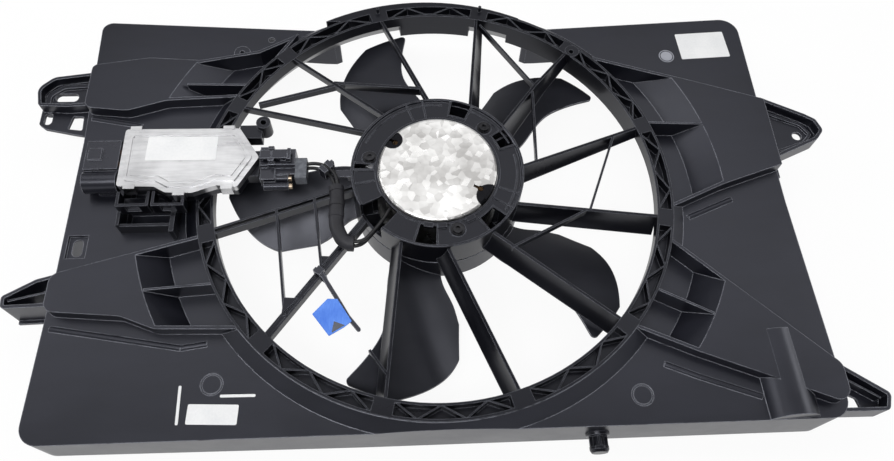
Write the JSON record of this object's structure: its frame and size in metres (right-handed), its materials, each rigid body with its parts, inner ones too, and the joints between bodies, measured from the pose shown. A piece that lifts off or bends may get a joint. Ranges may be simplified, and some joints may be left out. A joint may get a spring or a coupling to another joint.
{
  "type": "radiator fan",
  "caption": "Engine cooling fan: moulded shroud with guide-vane ring, brushed motor, bladed impeller, speed control module and plugged motor lead.",
  "frame": {"origin": "on the fan axis, in the plane of the shroud's rim that faces the radiator", "axes": "+Z along the fan axis towards the motor side, +X along the shroud's long side away from the control module, +Y towards the edge that the ring overhangs"},
  "size_m": [0.7574, 0.453, 0.09],
  "materials": {
    "black_plastic": "satin glass-filled moulding",
    "fan_plastic": "satin glass-filled moulding",
    "gloss_black": "semi-gloss moulding",
    "plated_steel": "zinc plated, drawn",
    "steel": "bright",
    "cast_aluminium": "as stamped, satin",
    "ferrite": "sintered",
    "bronze": "sintered",
    "copper": "drawn",
    "carbon": "pressed",
    "laminate": "printed board",
    "electronics": "moulded",
    "rubber": "matt",
    "lead_light": "extruded",
    "lead_dark": "extruded",
    "blue_tape": "adhesive tape"
  },
  "bodies": {
    "housing": {"brush_card": "laminate", "brush_springs": "steel", "cable_tie": "gloss_black", "capacitors": "electronics", "carbon_brushes": "carbon", "circuit_board": "laminate", "ear_lower_left": "black_plastic", "ear_lower_right": "black_plastic", "ear_upper_left": "black_plastic", "ear_upper_right": "black_plastic", "fan_ring": "black_plastic", "front_bearing": "bronze", "harness_clip": "gloss_black", "identification_tag": "blue_tape", "inlet_blades": "copper", "lead_negative": "lead_dark", "lead_positive": "lead_light", "lead_sleeve": "rubber", "locating_peg": "black_plastic", "module_base": "black_plastic", "module_carrier": "black_plastic", "module_cover": "cast_aluminium", "module_gasket": "rubber", "motor_bracket": "plated_steel", "motor_can": "plated_steel", "motor_end_plate": "plated_steel", "motor_magnets": "ferrite", "motor_mount_ring": "black_plastic", "motor_plug": "gloss_black", "motor_screws": "plated_steel", "plug_barrel_ends": "copper", "plug_seal": "rubber", "power_inlet": "gloss_black", "power_transistors": "electronics", "rear_bearing": "bronze", "shroud_panel": "black_plastic", "stator_vanes": "black_plastic"},
    "fan": {"impeller": "fan_plastic", "armature_core": "steel", "armature_windings": "copper", "commutator": "copper", "motor_shaft": "steel", "drive_plate": "steel", "shaft_circlip": "steel", "balance_clip": "steel"},
    "plug_latch_arm": {"plug_latch": "gloss_black"},
    "plug_lock_slide": {"plug_lock": "gloss_black"}
  },
  "joints": [
    {"name": "fan_spin", "type": "hinge", "parent": "housing", "child": "fan", "pos_m": [0, 0, 0.05], "axis": [0, 0, 1], "continuous": true},
    {"name": "latch_lift", "type": "hinge", "parent": "housing", "child": "plug_latch_arm", "pos_m": [-0.1461, 0.0205, 0.084], "axis": [0, 1, 0], "range_deg": [0, 5], "stiffness_Nm_per_rad": 0.02},
    {"name": "lock_slide", "type": "slide", "parent": "housing", "child": "plug_lock_slide", "axis": [1, 0, 0], "range_m": [0, 0.0035]}
  ]
}
